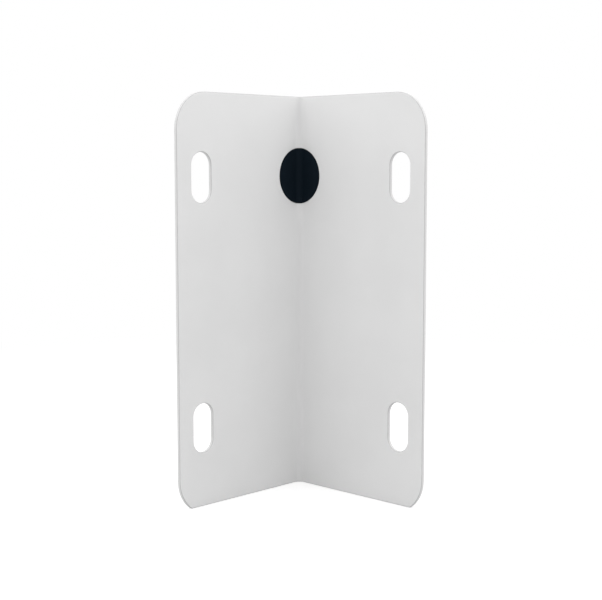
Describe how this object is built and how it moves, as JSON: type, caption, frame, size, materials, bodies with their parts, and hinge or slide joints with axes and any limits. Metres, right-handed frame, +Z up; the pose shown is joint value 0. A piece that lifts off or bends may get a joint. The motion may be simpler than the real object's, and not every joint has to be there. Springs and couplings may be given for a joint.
{
  "type": "camera corner mount bracket",
  "caption": "Right-angle folded sheet bracket with upright fixing slots near its free edges and a plugged round cable hole across the fold, for fixing a camera at a building's corner.",
  "frame": {"origin": "where the planes of the two wall faces meet, at the bottom edge of the fold", "axes": "+Z up along the fold; one leaf runs along +X with its wall face towards -Y, the other along -Y with its wall face towards +X"},
  "size_m": [0.0903, 0.0903, 0.21],
  "materials": {
    "powder_coated_steel": "pale grey-white satin powder coat",
    "black_rubber": "matt moulded"
  },
  "bodies": {
    "root": {"corner_plate": "powder_coated_steel", "cable_hole_plug": "black_rubber"}
  },
  "joints": []
}
